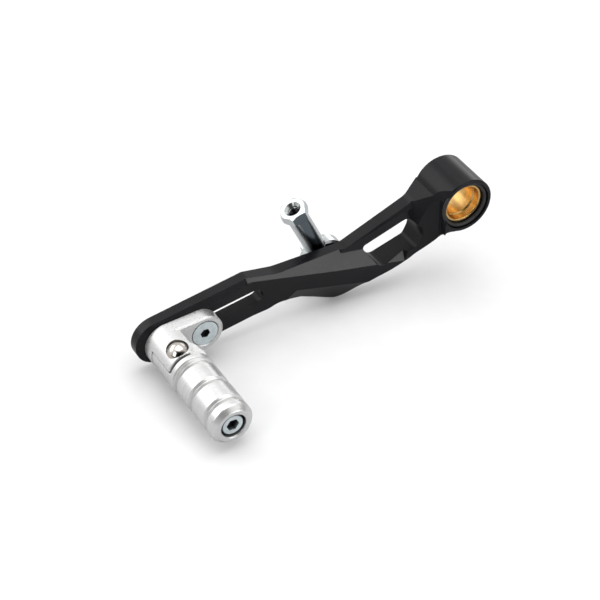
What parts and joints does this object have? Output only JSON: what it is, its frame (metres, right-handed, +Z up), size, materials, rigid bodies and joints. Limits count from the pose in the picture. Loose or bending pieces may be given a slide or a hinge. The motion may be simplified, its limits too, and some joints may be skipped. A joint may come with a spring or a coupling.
{
  "type": "motorcycle gear shift lever",
  "caption": "Black milled gear shift lever with a bronze pivot bush, a linkage rod end and a folding silver toe peg on a sliding bracket.",
  "frame": {"origin": "on the pivot axis, at the middle of the bronze bush's length", "axes": "+Y along the pivot axis towards the engine, -X forward from the pivot to the toe end, +Z up"},
  "size_m": [0.1645, 0.0814, 0.0554],
  "materials": {
    "black_anodised": "satin black anodised",
    "silver_anodised": "satin turned, clear anodised",
    "bush_bronze": "smooth",
    "liner_bronze": "dull",
    "seal_rubber": "matte",
    "zinc_steel": "bright zinc plated",
    "polished_steel": "polished",
    "spring_steel": "dark",
    "washer_plastic": "matte"
  },
  "bodies": {
    "arm": {"lever_arm": "black_anodised", "pivot_bush": "bush_bronze", "outer_dust_seal": "seal_rubber", "inner_dust_seal": "seal_rubber", "rod_end_bolt": "zinc_steel", "rod_end_spacer": "zinc_steel", "rod_end_lock_washer": "zinc_steel"},
    "bracket": {"toe_bracket": "silver_anodised", "bracket_screw": "zinc_steel", "clamp_washer": "zinc_steel", "clamp_nut": "zinc_steel", "bracket_dowel": "zinc_steel", "hinge_pin": "polished_steel", "hinge_clip": "spring_steel"},
    "peg": {"peg_core": "silver_anodised", "peg_sleeve": "silver_anodised", "peg_screw": "zinc_steel", "peg_screw_washer": "zinc_steel", "detent_ball": "polished_steel", "detent_spring": "spring_steel", "hinge_thrust_washers": "washer_plastic"},
    "rod_ball": {"rod_end_ball": "polished_steel"},
    "rod_end": {"rod_end_body": "zinc_steel", "rod_end_liner": "liner_bronze"}
  },
  "joints": [
    {"name": "toe_adjust", "type": "slide", "parent": "arm", "child": "bracket", "axis": [0.9888, 0, 0.1495], "range_m": [0, 0.016]},
    {"name": "peg_fold", "type": "hinge", "parent": "bracket", "child": "peg", "pos_m": [-0.13919, -0.0115, -0.02928], "axis": [-0.1495, 0, 0.9888], "range_deg": [0, 75]},
    {"name": "rod_end_swing", "type": "hinge", "parent": "arm", "child": "rod_ball", "pos_m": [-0.0548, 0.0165, -0.0258], "axis": [0, 1, 0], "range_deg": [-20, 20]},
    {"name": "rod_end_tilt", "type": "hinge", "parent": "rod_ball", "child": "rod_end", "pos_m": [-0.0548, 0.0165, -0.0258], "axis": [0.9063, 0, 0.4226], "range_deg": [-5, 5]}
  ]
}
